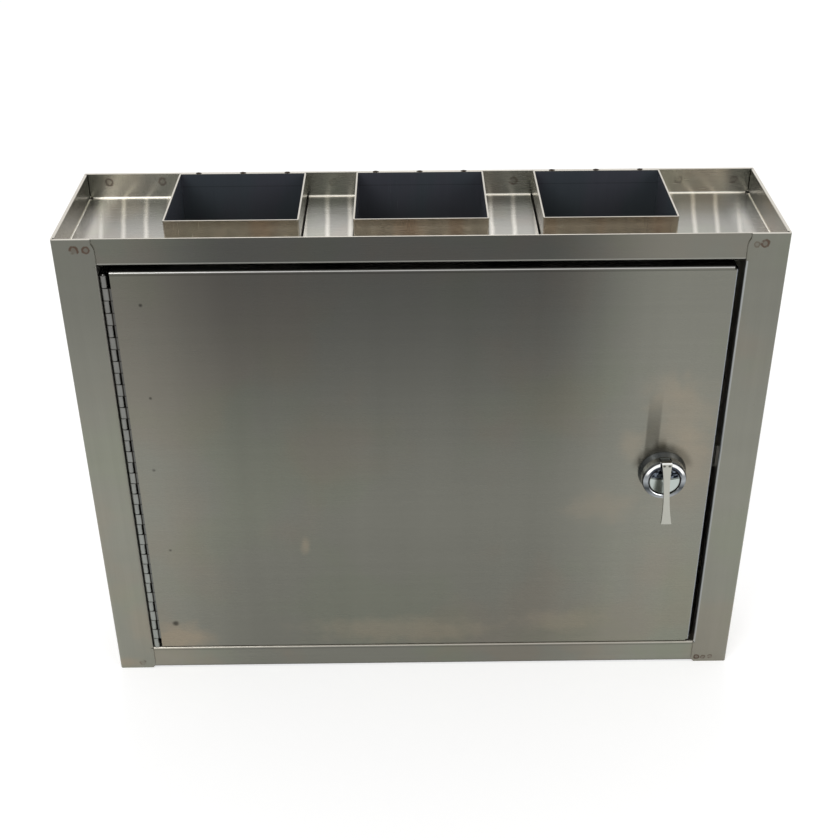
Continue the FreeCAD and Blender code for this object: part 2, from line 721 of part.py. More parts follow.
def latch_knob():
    """Turning knob with its spindle, a recess for the cap and a slot for the lever."""
    body = new_latch_body("latch_knob")
    section = new_sketch(body, "knob_section", "YZ")
    shoulder = knob_front + ring_slope + shoulder_round
    cut = ROUND_CUT * shoulder_round
    add_loop(section, [(recess_floor, 0), (recess_floor, groove_radius),
                       (knob_front + ring_slope, groove_radius), (knob_front, groove_radius + ring_land),
                       (knob_front + ring_slope, knob_radius - shoulder_round),
                       (knob_front + ring_slope + cut, knob_radius - cut), (shoulder, knob_radius),
                       (knob_back, knob_radius), (knob_back, spindle_radius), (cam_y, spindle_radius),
                       (cam_y, 0)])
    revolve(body, section, "knob_and_spindle")
    square = new_sketch(body, "spindle_square_outline", "XZ", -cam_y)
    half = spindle_square / 2
    add_rectangle(square, -half, half, -half, half)
    pad(body, square, "spindle_end", cam_thickness - cam_play, backward=True)
    tapping = new_sketch(body, "screw_hole_outline", "XZ", -(cam_y + cam_thickness - cam_play))
    add_circle(tapping, 0, 0, screw_diameter + 2 * running_clearance)
    pocket(body, tapping, "screw_hole", screw_length, backward=True)
    slot = new_sketch(body, "lever_slot_outline", "XZ", slot_web - knob_back)
    reach = lever_width / 2 + slot_clearance
    add_rectangle(slot, -reach, reach, root_bottom - slot_seat, knob_diameter)
    pocket(body, slot, "lever_slot", knob_depth, backward=True)
    cross = new_sketch(body, "lever_pin_hole_outline", "YZ")
    add_circle(cross, pin_place[0], pin_place[1], lever_pin_diameter + 2 * running_clearance)
    pocket(body, cross, "lever_pin_hole", lever_pin_length, symmetric=True)
    return body


def knob_cap():
    """Dished cap in the knob's recess."""
    body = new_latch_body("knob_cap")
    section = new_sketch(body, "cap_section", "YZ")
    rim = recess_floor - cap_thickness
    add_loop(section, [(recess_floor, 0), (recess_floor, cap_radius), (rim + cap_chamfer, cap_radius),
                       (rim, cap_radius - cap_chamfer), (rim + cap_dish, 0)])
    revolve(body, section, "cap_disc")
    return body


def latch_lever():
    """Waisted lever that leans away from the door, its root held in the knob's slot."""
    body = new_latch_body("latch_lever")
    section = new_sketch(body, "lever_section", "YZ")
    rise = lever_top + lever_drop
    back_top = lever_front + lever_thickness - lever_lean * ((lever_top - root_bottom) / rise)
    root_back = knob_back - slot_web - slot_seat
    toe = lever_front - lever_lean
    add_loop(section, [(root_back, root_bottom), (root_back, root_top), (knob_front, lever_top),
                       (lever_front, lever_top), (toe, -lever_drop), (toe + lever_thickness, -lever_drop),
                       (back_top, root_bottom)])
    pad(body, section, "lever_block", lever_width, symmetric=True)
    edges = (straight_edges(body, "x", y=lever_front, z=lever_top)
             + straight_edges(body, "x", y=toe, z=-lever_drop)
             + straight_edges(body, "x", y=toe + lever_thickness, z=-lever_drop))
    dress(body, "Fillet", "lever_edges", edges, lever_edge)
    scoops = new_sketch(body, "lever_scoop_outlines", "XZ")
    depth = (lever_width - lever_waist) / 2
    scoop = (waist_reach * waist_reach + depth * depth) / (2 * depth)
    for side in (-1, 1):
        add_circle(scoops, side * (lever_waist / 2 + scoop), waist_height, 2 * scoop)
    pocket(body, scoops, "lever_waist", 4 * (knob_depth + lever_lean), symmetric=True)
    cross = new_sketch(body, "root_hole_outline", "YZ")
    add_circle(cross, pin_place[0], pin_place[1], lever_pin_diameter + 2 * running_clearance)
    pocket(body, cross, "root_hole", 2 * lever_width, symmetric=True)
    return body


def lever_pin():
    body = new_latch_body("lever_pin")
    outline = new_sketch(body, "lever_pin_outline", "YZ")
    add_circle(outline, pin_place[0], pin_place[1], lever_pin_diameter)
    pad(body, outline, "lever_pin_rod", lever_pin_length, symmetric=True)
    return body


def latch_cam():
    """Flat cam on the spindle's square, hanging down while the latch is open."""
    body = new_latch_body("latch_cam")
    outline = new_sketch(body, "cam_outline", "XZ", -cam_y)
    half = cam_width / 2
    add_loop(outline, [(half, 0), (-half, 0), (-half, cam_corner - cam_reach),
                       (cam_corner - half, -cam_reach), (half - cam_corner, -cam_reach),
                       (half, cam_corner - cam_reach)],
             {0: ((0, 0), 1, "Y")})
    square = spindle_square / 2 + running_clearance
    add_rectangle(outline, -square, square, -square, square)
    pad(body, outline, "cam_plate", cam_thickness, backward=True)
    return body


def cam_washer():
    body = new_latch_body("cam_washer")
    outline = new_sketch(body, "washer_outline", "XZ", -(cam_y + cam_thickness))
    add_circle(outline, 0, 0, washer_diameter)
    add_circle(outline, 0, 0, screw_diameter + washer_play)
    pad(body, outline, "washer_disc", washer_thickness, backward=True)
    return body


def cam_screw():
    """Hexagon screw in the spindle's end, which clamps the cam and its washer."""
    body = new_latch_body("cam_screw")
    head = new_sketch(body, "screw_head_outline", "XZ", -stack_end)
    add_loop(head, hexagon(screw_head_width))
    pad(body, head, "screw_head", screw_head_height, backward=True)
    shank = new_sketch(body, "screw_shank_outline", "XZ", -stack_end)
    add_circle(shank, 0, 0, screw_diameter)
    pad(body, shank, "screw_shank", screw_length)
    return body


side_panel("left_side_panel", -1, hinge_return)
side_panel("right_side_panel", 1, latch_return)
back_panel()
bottom_pan()
top_tray()
chute("chute_left", -1)
chute("chute_center", 0)
chute("chute_right", 1)
chute_welds()
keeper_angle()
hinge_leaf("hinge_frame_leaf", hinge_standoff, frame_leaf_width, hinge_bottom + knuckle_gap / 2,
           (knuckle_count + 1) / 2, True)
hinge_pin()
door_panel()
hinge_leaf("hinge_door_leaf", 0, door_leaf_width, hinge_bottom + knuckle_pitch + knuckle_gap / 2,
           (knuckle_count - 1) / 2, False)
latch_body()
latch_nut()
latch_knob()
knob_cap()
latch_lever()
lever_pin()
latch_cam()
cam_washer()
cam_screw()
doc.recompute()

for item in doc.Objects:
    if "Invalid" in item.State or "Error" in item.State:
        raise RuntimeError("%s failed: %s" % (item.Label, item.State))
for item in sub_parts:
    if item.Shape.isNull() or not item.Shape.isValid() or not item.Shape.Solids:
        raise RuntimeError("%s has no valid solid" % item.Label)

os.makedirs("parts", exist_ok=True)
for item in sub_parts:
    item.Shape.exportStep("parts/%s.step" % item.Label)
    print(item.Label, len(item.Shape.Solids), round(item.Shape.Volume, 1))
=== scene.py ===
import json
import math
import random

import bmesh
import bpy
from mathutils import Matrix, Vector, noise


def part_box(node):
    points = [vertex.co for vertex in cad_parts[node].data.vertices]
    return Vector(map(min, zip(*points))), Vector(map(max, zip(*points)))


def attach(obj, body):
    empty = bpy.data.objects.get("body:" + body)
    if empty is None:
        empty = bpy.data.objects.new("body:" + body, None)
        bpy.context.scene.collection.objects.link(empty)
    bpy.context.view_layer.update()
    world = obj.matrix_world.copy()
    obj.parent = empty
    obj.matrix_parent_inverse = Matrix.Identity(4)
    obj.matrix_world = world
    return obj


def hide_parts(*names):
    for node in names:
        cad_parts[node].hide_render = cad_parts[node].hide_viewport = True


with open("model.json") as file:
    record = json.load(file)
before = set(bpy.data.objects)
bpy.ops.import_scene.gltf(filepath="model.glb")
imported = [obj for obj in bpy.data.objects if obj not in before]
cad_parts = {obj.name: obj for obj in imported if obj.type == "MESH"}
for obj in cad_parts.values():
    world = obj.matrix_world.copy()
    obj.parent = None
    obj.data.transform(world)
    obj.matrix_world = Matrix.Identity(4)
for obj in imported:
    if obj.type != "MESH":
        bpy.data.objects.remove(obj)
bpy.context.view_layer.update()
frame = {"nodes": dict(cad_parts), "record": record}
MM = 0.001

# Places read from the model, in metres
FRONT_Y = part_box("left_side_panel")[0].y
TRAY_LOW, TRAY_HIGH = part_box("top_tray")
RAIL_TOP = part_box("bottom_pan")[1].z
CHUTES = [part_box(name) for name in ("chute_left", "chute_center", "chute_right")]
DOOR_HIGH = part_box("door_panel")[1]
HINGE_LOW, HINGE_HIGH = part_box("hinge_pin")
LATCH_LOW, LATCH_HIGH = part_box("latch_body")
CAP_LOW, CAP_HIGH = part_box("knob_cap")
LEVER_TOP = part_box("latch_lever")[1].z
LATCH_X = (LATCH_LOW.x + LATCH_HIGH.x) / 2
LATCH_Z = (LATCH_LOW.z + LATCH_HIGH.z) / 2
SHEET = 1.5 * MM
KNUCKLE_PITCH = 12.7 * MM
BEAD_PITCH = 43.5 * MM

# The photograph's viewpoint, fitted to the cabinet's corners: degrees, metres, millimetres of lens
CAMERA_YAW, CAMERA_PITCH, CAMERA_ROLL = 0.51, 32.34, -0.33
CAMERA_PLACE = (-0.0121, FRONT_Y - 1.0817, 1.0006)
SENSOR_WIDTH, FOCAL_LENGTH = 36, 56.86
FARTHEST_SEEN = 60

# Display tones of the steel: plain, and painted reflections of the dark and the bright side of the
# room; the dark one is also painted shade at folds
STEEL = (172, 170, 163)
DARK = (72, 72, 69)
LIGHT = (146, 146, 135)
# Display tones of painted highlights on lit edges, heat tints, weld marks, and dark spots that
# double as painted shade
EDGE = (204, 199, 189)
TAN = (150, 138, 120)
BROWN = (74, 56, 46)
SOOT_AND_SHADE = (40, 38, 35)

# Where the painted reflection of the room turns from bright to dark: in height, and towards both
# sides
ROOM_HEIGHTS = (180 * MM, 500 * MM)
ROOM_LEFT = (-290 * MM, -165 * MM)
ROOM_RIGHT = (105 * MM, 235 * MM)

# Brushing: noise scales of the fine and the broad lines, and their scale along the grain
FINE_LINES, BROAD_LINES, ALONG_GRAIN = 1400, 170, 0.02

# Marks on the sheets: x, z and radius in millimetres, and strength
STILE_WELDS = ((-309.9, 498.1, 3.4, 0.85), (-299.3, 498.0, 3.0, 0.8), (307.0, 498.4, 3.2, 0.8),
               (299.9, 497.5, 2.4, 0.45), (-304.9, 7.4, 3.0, 0.55), (297.7, 6.4, 2.6, 0.9),
               (304.5, 6.1, 2.2, 0.7), (312.0, 6.6, 2.4, 0.6))
TRAY_WELDS = ((-306.3, 499.6, 3.4, 0.6), (-254.0, 500.1, 3.4, 0.55), (-85.4, 497.4, 3.4, 0.25),
              (92.8, 497.7, 3.4, 0.6), (256.5, 497.2, 3.4, 0.4), (311.2, 496.6, 3.4, 0.4))
DOOR_SPOTS = ((-257.0, 442.6, 2.2, 0.75), (-259.1, 343.2, 2.0, 0.7), (-265.1, 260.1, 2.0, 0.5),
              (-259.4, 160.5, 2.4, 0.6), (-263.9, 62.4, 4.2, 0.75))

# Heat tints: x and z in millimetres, the axes' weights, radius in millimetres, and strength
STILE_TINTS = ((-322, 8, (0.5, 1, 1), 12, 0.5), (-300, 60, (1, 1, 0.5), 22, 0.3))
DOOR_TINTS = ((252, 318, (1, 1, 0.7), 42, 0.30), (262, 268, (1, 1, 0.7), 34, 0.28),
              (232, 350, (0.8, 1, 1), 26, 0.2), (205, 285, (1, 1, 0.8), 20, 0.30),
              (180, 210, (0.5, 1, 1), 26, 0.25), (-262, 42, (0.5, 1, 1), 26, 0.7),
              (-30, 50, (0.2, 1, 1), 26, 0.3), (150, 60, (0.3, 1, 1), 20, 0.25),
              (-120.7, 165, (1, 1, 0.5), 7, 0.45))

# Painted reflections in polished metal: share of the way from floor to ceiling, and grey level
KNOB_HORIZON = ((0.0, 90), (0.25, 190), (0.42, 60), (0.5, 160), (0.64, 64), (0.75, 250), (1.0, 130))
ROSE_HORIZON = ((0.0, 146), (0.6, 74), (1.0, 126))

# Studio lamps: name, place, size and power
LAMPS = (("key_lamp", (-1.6, -2.2, 2.6), 1.8, 34), ("fill_lamp", (2.0, -1.8, 1.8), 1.6, 16),
         ("rear_lamp", (0.0, 2.4, 3.6), 2.0, 30))
LAMP_TARGET = (0, 0, 0.25)
WHITE = (1, 1, 1, 1)
AMBIENT_STRENGTH = 0.55
FLOOR_HALF, FLOOR_DROP = 6.0, 0.3 * MM
FLOOR_GREY, FLOOR_GLOW = 0.80, 0.42


def add_camera():
    """The photograph's viewpoint: in front, a little above the rim, tilted down."""
    yaw, pitch, roll = (math.radians(turn) for turn in (CAMERA_YAW, CAMERA_PITCH, CAMERA_ROLL))
    forward = Vector((math.sin(yaw) * math.cos(pitch), math.cos(yaw) * math.cos(pitch),
                      -math.sin(pitch)))
    level = Vector((math.cos(yaw), -math.sin(yaw), 0))
    upright = level.cross(forward)
    right = math.cos(roll) * level + math.sin(roll) * upright
    up = math.cos(roll) * upright - math.sin(roll) * level
    data = bpy.data.cameras.new("photo_camera")
    data.sensor_width = SENSOR_WIDTH
    data.lens = FOCAL_LENGTH
    data.clip_end = FARTHEST_SEEN
    camera = bpy.data.objects.new("photo_camera", data)
    place = Matrix((right, up, -forward)).transposed().to_4x4()
    place.translation = Vector(CAMERA_PLACE)
    camera.matrix_world = place
    bpy.context.scene.collection.objects.link(camera)
    bpy.context.scene.camera = camera


def srgb(red, green, blue):
    """Linear colour from the usual 0 to 255 display values."""
    def linear(value):
        value /= 255
        return value / 12.92 if value <= 0.04045 else ((value + 0.055) / 1.055) ** 2.4
    return (linear(red), linear(green), linear(blue))


class Graph:
    """A material's or world's nodes, added one after the other."""

    def __init__(self, owner):
        owner.use_nodes = True
        self.tree = owner.node_tree
        self.tree.nodes.clear()

    def add(self, kind, inputs=None, **settings):
        node = self.tree.nodes.new(kind)
        for name, value in settings.items():
            setattr(node, name, value)
        for key, value in (inputs or {}).items():
            if isinstance(value, bpy.types.NodeSocket):
                self.tree.links.new(value, node.inputs[key])
            else:
                node.inputs[key].default_value = value
        return node

    def math(self, operation, first, second=0.0, third=0.0):
        node = self.add("ShaderNodeMath", {0: first, 1: second, 2: third}, operation=operation)
        return node.outputs[0]

    def times(self, *factors):
        product = factors[0]
        for factor in factors[1:]:
            product = self.math("MULTIPLY", product, factor)
        return product

    def either(self, first, second):
        return self.math("MAXIMUM", first, second)

    def absolute(self, value):
        return self.math("ABSOLUTE", value)

    def band(self, value, low, high, at_low=0.0, at_high=1.0):
        """Smooth step of a value between two limits."""
        node = self.add("ShaderNodeMapRange", {0: value, 1: low, 2: high, 3: at_low, 4: at_high},
                        interpolation_type="SMOOTHSTEP")
        return node.outputs[0]

    def within(self, value, low, high, soft):
        """1 between two limits, falling to 0 over a soft edge outside them."""
        return self.times(self.band(value, low - soft, low),
                          self.band(value, high, high + soft, 1.0, 0.0))

    def mix(self, factor, first, second, blend="MIX"):
        node = self.add("ShaderNodeMix", data_type="RGBA", blend_type=blend)
        for key, value in ((0, factor), (6, first), (7, second)):
            if isinstance(value, bpy.types.NodeSocket):
                self.tree.links.new(value, node.inputs[key])
            elif key == 0:
                node.inputs[key].default_value = value
            else:
                node.inputs[key].default_value = (*value, 1)
        return node.outputs[2]

    def noise(self, vector, scale, stretch=(1, 1, 1), detail=2.0, rough=0.5):
        """Noise with its own stretch along the object's axes."""
        moved = self.add("ShaderNodeMapping", {"Vector": vector, "Scale": stretch})
        node = self.add("ShaderNodeTexNoise", {"Vector": moved.outputs[0], "Scale": scale,
                                               "Detail": detail, "Roughness": rough})
        return node.outputs[0]

    def distance(self, vector, point, weights=(1, 1, 1)):
        """Distance to a point, with each axis weighted."""
        scaled = self.add("ShaderNodeVectorMath", {0: vector, 1: weights}, operation="MULTIPLY")
        target = tuple(a * b for a, b in zip(point, weights))
        return self.add("ShaderNodeVectorMath", {0: scaled.outputs[0], 1: target},
                        operation="DISTANCE").outputs["Value"]


ALONG = {"x": (1, 0, 0), "y": (0, 1, 0), "z": (0, 0, 1)}


class Skin(Graph):
    """A metal surface: its colour is built up in steps and then goes into one shader."""

    def __init__(self, name, colour):
        self.material = bpy.data.materials.new(name)
        super().__init__(self.material)
        coordinates = self.add("ShaderNodeTexCoord").outputs
        self.where = coordinates["Object"]
        self.x, self.y, self.z = self.add("ShaderNodeSeparateXYZ", {0: self.where}).outputs
        facing = self.add("ShaderNodeSeparateXYZ", {0: coordinates["Normal"]}).outputs
        self.right, self.back, self.up = facing
        self.ahead = self.band(self.back, -0.9, -0.3, 1.0, 0.0)
        self.above = self.band(self.up, 0.3, 0.9)
        self.shade = self.mix(0.0, srgb(*colour), srgb(*colour))
        self.metallic = 1.0

    def paint(self, factor, colour):
        """Lays a display colour, or one made by nodes, over the surface."""
        if not isinstance(colour, bpy.types.NodeSocket):
            colour = srgb(*colour)
        self.shade = self.mix(factor, self.shade, colour)

    def between(self, factor, first, second):
        """A colour between two display colours."""
        return self.mix(factor, srgb(*first), srgb(*second))

    def tint(self, factor, colour):
        """Multiplies the surface's colour."""
        self.shade = self.mix(factor, self.shade, colour, "MULTIPLY")

    def light(self, factor):
        self.shade = self.add("ShaderNodeVectorMath", {0: self.shade, "Scale": factor},
                              operation="SCALE").outputs[0]

    def rim(self, start, end):
        """Paints a highlight on a sheet's upper edge, from one height to another."""
        self.paint(self.times(self.above, self.band(self.z, start, end)), EDGE)

    def mirror_room(self, mask, left, right):
        """Paints a reflection on upright faces: a dark room high up, bright surroundings low and to
        the sides.
        """
        low = self.band(self.z, *ROOM_HEIGHTS, 0.555, 1.0)
        fading = self.band(self.z, *ROOM_HEIGHTS, -1.0, -0.6)
        to_left = self.math("MULTIPLY_ADD", fading, self.band(self.x, *ROOM_LEFT, left, 0.0), 1.0)
        to_right = self.band(self.x, *ROOM_RIGHT, 1.0, 1 - right)
        self.paint(mask, self.between(self.times(low, to_left, to_right), LIGHT, DARK))

    def brush(self, grain, strength):
        """Brushing lines: long along the grain, fine across it."""
        stretch = tuple(ALONG_GRAIN if step else 1.0 for step in ALONG[grain])
        self.fine = self.noise(self.where, FINE_LINES, stretch, 3.0, 0.6)
        self.lines = self.noise(self.where, BROAD_LINES, stretch, 3.0, 0.6)
        self.light(self.math("ADD", self.math("MULTIPLY", self.fine, strength),
                             self.math("MULTIPLY_ADD", self.lines, strength, 1 - strength)))

    def smear(self, across, strength):
        """Painted reflections drawn out across the grain into soft broad streaks."""
        stretch = tuple(0.06 if step else 1.0 for step in ALONG[across])
        streaks = self.noise(self.where, 38, stretch, 2.0, 0.55)
        self.light(self.math("MULTIPLY_ADD", streaks, 2 * strength, 1 - strength))

    def mottle(self, strength, scale=9):
        """Faint pink and green clouds of handled steel."""
        pink = self.band(self.noise(self.where, scale, detail=3.0), 0.48, 0.62, 0.0, strength)
        self.tint(pink, (1.08, 0.98, 0.94))
        moved = self.add("ShaderNodeVectorMath", {0: self.where, 1: (3, 5, 7)}).outputs[0]
        green = self.band(self.noise(moved, scale, detail=3.0), 0.50, 0.64, 0.0, strength)
        self.tint(green, (0.97, 1.03, 0.94))

    def patch(self, point, weights, radius, colour, strength):
        """A ragged soft patch, such as a heat tint or a smudge."""
        ragged = self.noise(self.where, 60, detail=3.0)
        away = self.math("ADD", self.distance(self.where, point, weights),
                         self.math("MULTIPLY_ADD", ragged, radius, -radius / 2))
        self.paint(self.band(away, 0.2 * radius, radius, strength, 0.0), colour)

    def weld_mark(self, point, radius, strength):
        """The broken brown ring that a spot weld leaves."""
        wobble = self.noise(self.where, 330, detail=1.0)
        away = self.math("ADD", self.distance(self.where, point, (1, 0.1, 1)),
                         self.math("MULTIPLY_ADD", wobble, 0.7 * radius, -0.35 * radius))
        ring = self.within(away, 0.85 * radius, 1.1 * radius, 0.35 * radius)
        broken = self.band(self.noise(self.where, 210, detail=1.0), 0.28, 0.50)
        self.paint(self.times(ring, broken, strength), BROWN)
        self.paint(self.band(away, 0.2 * radius, 1.5 * radius, 0.4 * strength, 0.0), BROWN)

    def finish(self, roughness, spread=0.10, across=None, anisotropy=0.0, bump=0.05):
        """The shader: roughness varies with the brushing and in clouds, the lines are raised."""
        cloud = self.noise(self.where, 7, detail=3.0)
        gloss = self.math("ADD",
                          self.math("MULTIPLY_ADD", self.fine, spread, roughness - spread / 2),
                          self.math("MULTIPLY_ADD", cloud, spread, -spread / 2))
        raised = self.add("ShaderNodeBump", {"Strength": bump, "Distance": 0.2 * MM,
                                             "Height": self.lines})
        inputs = {"Base Color": self.shade, "Metallic": self.metallic, "Roughness": gloss,
                  "Normal": raised.outputs[0]}
        if across:
            tangent = self.add("ShaderNodeCombineXYZ", dict(zip("XYZ", ALONG[across])))
            inputs.update({"Anisotropic": anisotropy, "Tangent": tangent.outputs[0]})
        shader = self.add("ShaderNodeBsdfPrincipled", inputs)
        self.add("ShaderNodeOutputMaterial", {"Surface": shader.outputs[0]})
        return self.material


def front(x, z):
    """A point of the front face, from millimetres."""
    return (x * MM, FRONT_Y, z * MM)


def side_sheet():
    """Side walls with the front stiles: painted reflections and highlights, and brown weld marks at
    the stiles' ends.
    """
    skin = Skin("side_sheet", STEEL)
    # Painted reflection of the room on the front faces
    skin.mirror_room(skin.ahead, left=0.58, right=0.46)
    skin.mottle(strength=0.5)
    # Painted highlight on the right stile's inner bend beside the door gap
    beside_gap = skin.times(skin.within(skin.x, 292.4 * MM, 293.6 * MM, 0.5 * MM),
                            skin.within(skin.z, RAIL_TOP, TRAY_LOW.z, 0.1 * MM), 0.5)
    skin.paint(beside_gap, (176, 180, 182))
    skin.rim(TRAY_HIGH.z - 1 * MM, TRAY_HIGH.z)
    for x, z, radius, strength in STILE_WELDS:
        skin.weld_mark(front(x, z), radius * MM, strength)
    for x, z, weights, radius, strength in STILE_TINTS:
        skin.patch(front(x, z), weights, radius * MM, TAN, strength)
    skin.brush("z", strength=0.10)
    skin.smear("x", strength=0.04)
    return skin.finish(roughness=0.30, across="x", anisotropy=0.55)


def back_sheet():
    """Back panel: plain brushed steel with a painted highlight on its upper edge."""
    skin = Skin("back_sheet", STEEL)
    skin.mottle(strength=0.5)
    skin.rim(TRAY_HIGH.z - 1 * MM, TRAY_HIGH.z)
    skin.brush("z", strength=0.10)
    return skin.finish(roughness=0.32, across="x", anisotropy=0.5)


def pan_sheet():
    """Bottom pan: a light rail with a painted reflection, a painted highlight on the fold at the
    opening, and painted shade under that fold and at the floor.
    """
    skin = Skin("pan_sheet", STEEL)
    # Painted reflection of the room on the rail, then lightened
    skin.mirror_room(skin.ahead, left=0.50, right=0.42)
    skin.light(1.08)
    skin.mottle(strength=0.6, scale=14)
    # Painted highlight on the fold at the top of the rail
    skin.paint(skin.within(skin.z, RAIL_TOP - 1.2 * MM, RAIL_TOP, 0.5 * MM), (176, 172, 162))
    # Painted shade under that fold
    under_fold = skin.within(skin.z, RAIL_TOP - 3.4 * MM, RAIL_TOP - 2.6 * MM, 0.5 * MM)
    skin.paint(skin.times(under_fold, skin.ahead, 0.4), DARK)
    # Painted shade at the foot of the pan, by the floor
    skin.paint(skin.band(skin.z, 0.8 * MM, 3.0 * MM, 0.9, 0.0), SOOT_AND_SHADE)
    skin.brush("x", strength=0.10)
    return skin.finish(roughness=0.30, across="z", anisotropy=0.6)


def lamp_streaks(skin, spread):
    """Painted reflections: soft bright lines where brushing draws a row of ceiling lamps out from
    front to back.
    """
    pitch, shift, fan, middle_y = 21.2 * MM, 2.5 * MM, 0.6, 18.5 * MM
    narrowing = skin.math("MULTIPLY_ADD", skin.y, -fan, 1 - fan * middle_y)
    bowed = skin.math("MULTIPLY_ADD", skin.noise(skin.where, 14, (0.3, 1, 1)), 4 * MM, -2 * MM)
    line = skin.math("ADD", skin.absolute(skin.math("MULTIPLY", skin.x, narrowing)), bowed)
    turns = skin.math("MULTIPLY_ADD", line, 1 / pitch, 0.5 - shift / pitch)
    away = skin.absolute(skin.math("SUBTRACT", skin.math("FRACT", turns), 0.5))
    return skin.band(away, 0.0, spread, 1.0, 0.0)


def tray_sheet():
    """Top tray: bright painted floor with painted lamp streaks, half mirror walls with painted
    reflections, and painted white highlights at its folds.
    """
    skin = Skin("tray_sheet", (150, 149, 144))
    floor_z = TRAY_LOW.z + SHEET
    inner_x = TRAY_HIGH.x - SHEET
    rear_y = TRAY_HIGH.y - SHEET
    off_middle = skin.absolute(skin.x)
    # Painted light on the floor: lighter at the front, darker at the rear, brighter beside the side
    # walls
    on_floor = skin.times(skin.above,
                          skin.band(skin.z, floor_z + 0.5 * MM, floor_z + 2 * MM, 1.0, 0.0))
    to_rear = skin.band(skin.y, FRONT_Y + 20 * MM, rear_y)
    skin.paint(on_floor, skin.between(to_rear, (168, 166, 160), (136, 136, 132)))
    beside_wall = skin.band(off_middle, 292 * MM, 312 * MM, 0.0, 0.8)
    skin.paint(skin.times(on_floor, beside_wall), (212, 210, 204))
    # Painted reflection of the room on the front rail
    on_rail = skin.times(skin.ahead,
                         skin.band(skin.y, FRONT_Y + 3 * MM, FRONT_Y + 4 * MM, 1.0, 0.0))
    skin.mirror_room(on_rail, left=0.45, right=0.43)
    # Painted reflection on the rear wall, with brighter patches towards both ends
    on_wall = skin.times(skin.ahead, skin.band(skin.y, rear_y - 3 * MM, rear_y - 1.5 * MM))
    skin.paint(on_wall, (144, 143, 135))
    for left, right, strength in ((-304, -284, 0.4), (240, 296, 1.0)):
        bright = skin.times(on_wall, skin.within(skin.x, left * MM, right * MM, 16 * MM), strength)
        skin.paint(bright, (188, 182, 166))
    # Painted light on the side walls: lighter at the front, darker towards the rear
    sides = skin.band(skin.absolute(skin.right), 0.3, 0.9)
    skin.paint(sides, skin.between(to_rear, (146, 143, 136), (100, 100, 96)))
    skin.mottle(strength=0.4, scale=16)
    # Painted reflections of the ceiling lamps on the floor
    skin.paint(skin.times(on_floor, lamp_streaks(skin, spread=0.17), 0.8), (222, 218, 210))
    # Painted highlights on the floor's folds to the rear and side walls
    fold = skin.within(skin.z, floor_z + 0.1 * MM, floor_z + 1.2 * MM, 0.4 * MM)
    rear_fold = skin.band(skin.y, rear_y - 2.6 * MM, rear_y - 1.8 * MM)
    side_fold = skin.band(off_middle, inner_x - 1.8 * MM, inner_x - 1.0 * MM, 0.0, 0.8)
    skin.paint(skin.times(fold, skin.either(rear_fold, side_fold)), (246, 242, 232))
    skin.rim(TRAY_HIGH.z - 0.8 * MM, TRAY_HIGH.z)
    # Painted highlight along the rail's lower bend
    bend = skin.times(skin.within(skin.z, TRAY_LOW.z + 0.4 * MM, TRAY_LOW.z + 2.4 * MM, 0.5 * MM),
                      skin.band(skin.y, FRONT_Y + 2.5 * MM, FRONT_Y + 4 * MM, 0.6, 0.0))
    skin.paint(bend, (150, 150, 144))
    for x, z, radius, strength in TRAY_WELDS:
        skin.weld_mark((x * MM, rear_y, z * MM), radius * MM, strength)
    skin.brush("x", strength=0.09)
    return skin.finish(roughness=0.26, across="y", anisotropy=0.6)


def chute_sheet():
    """Chutes: painted highlights on the rims, front walls above the tray painted light and tinted,
    and a dull blue-grey inside painted as shade.
    """
    skin = Skin("chute_sheet", (196, 192, 184))
    low, high = CHUTES[0]
    # Painted light on the front walls above the tray, with painted lamp reflections and a pink tint
    outside = skin.times(skin.ahead,
                         skin.band(skin.y, low.y + 0.3 * MM, low.y + 0.8 * MM, 1.0, 0.0),
                         skin.band(skin.z, TRAY_LOW.z - 1 * MM, TRAY_LOW.z + 1 * MM))
    skin.paint(outside, (220, 211, 195))
    skin.paint(skin.times(outside, lamp_streaks(skin, spread=0.26), 0.35), (240, 232, 216))
    pink = skin.band(skin.noise(skin.where, 30, (1, 1, 0.15)), 0.50, 0.66)
    skin.tint(skin.times(outside, pink), (1.02, 0.90, 0.84))
    # Painted shade inside the chutes: dull blue-grey, lighter towards the rim
    wall, soft = 0.9 * MM, 0.3 * MM
    hollow = 0.0
    for left, right in CHUTES:
        hollow = skin.either(hollow, skin.within(skin.x, left.x + wall, right.x - wall, soft))
    hollow = skin.times(hollow, skin.within(skin.y, low.y + wall, high.y - wall, soft),
                        skin.band(skin.z, high.z - 0.6 * MM, high.z - 0.1 * MM, 1.0, 0.0))
    to_rim = skin.band(skin.z, low.z, high.z)
    skin.paint(hollow, skin.between(to_rim, (68, 70, 73), (76, 78, 86)))
    # A faint dark line 13 mm below the rim, inside
    dark_line_inside = skin.within(skin.z, high.z - 13.6 * MM, high.z - 12.8 * MM, 0.3 * MM)
    skin.paint(skin.times(hollow, dark_line_inside, 0.25), SOOT_AND_SHADE)
    cold = skin.band(skin.noise(skin.where, 24, (1, 1, 0.3)), 0.46, 0.60, 0.0, 0.4)
    skin.tint(skin.times(hollow, cold), (0.80, 1.05, 0.95))
    skin.rim(high.z - 0.6 * MM, high.z - 0.1 * MM)
    skin.brush("z", strength=0.10)
    skin.metallic = skin.math("MULTIPLY_ADD", hollow, -0.85, 1.0)
    return skin.finish(roughness=0.24, across="x", anisotropy=0.5)


